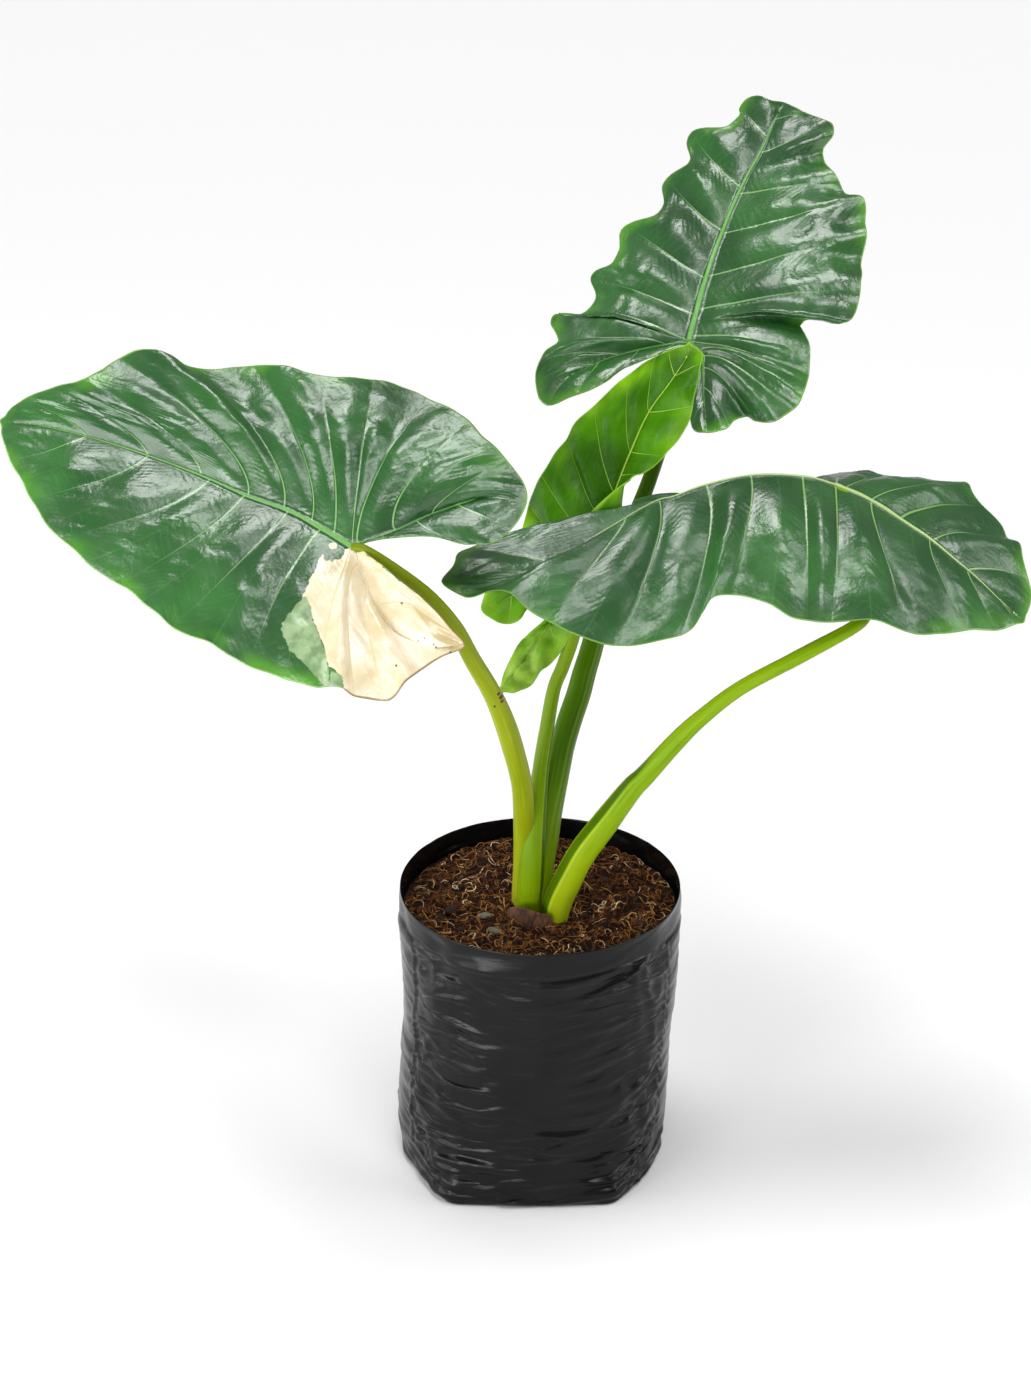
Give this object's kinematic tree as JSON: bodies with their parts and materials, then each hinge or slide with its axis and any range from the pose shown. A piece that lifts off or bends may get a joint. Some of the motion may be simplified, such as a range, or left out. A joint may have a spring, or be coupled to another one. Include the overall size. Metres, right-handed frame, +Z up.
{
  "type": "potted variegated alocasia",
  "caption": "Aroid house plant with large waved arrow-shaped leaves on thick petioles, standing in a filled black nursery grow bag.",
  "frame": {"origin": "centre of the grow bag's flat base, where it rests", "axes": "+Z up, +X to the right and -Y towards the viewer of the front view"},
  "size_m": [0.9177, 0.5842, 0.9212],
  "materials": {
    "grow_bag_film": "black polyethylene film, soft gloss, creased",
    "potting_mix": "coir fibre and bark mix, dry and rough",
    "stem_base": "corky living stem",
    "dry_sheath": "dry papery scale leaf",
    "petiole_right": "waxy fresh stalk",
    "petiole_top": "waxy fresh stalk, grooved",
    "petiole_left": "waxy fresh stalk, pale",
    "petiole_young": "waxy fresh stalk",
    "blade_variegated": "glossy leathery leaf with a cream sector",
    "blade_top": "glossy leathery leaf",
    "blade_young": "soft glossy young leaf",
    "blade_right": "glossy leathery leaf"
  },
  "bodies": {
    "root": {"grow_bag": "grow_bag_film", "potting_mix": "potting_mix", "stem_base": "stem_base", "dry_sheath": "dry_sheath", "petiole_right": "petiole_right", "petiole_top": "petiole_top", "petiole_left": "petiole_left", "petiole_young": "petiole_young", "blade_left": "blade_variegated", "blade_top": "blade_top", "blade_young": "blade_young", "blade_right": "blade_right"}
  },
  "joints": []
}
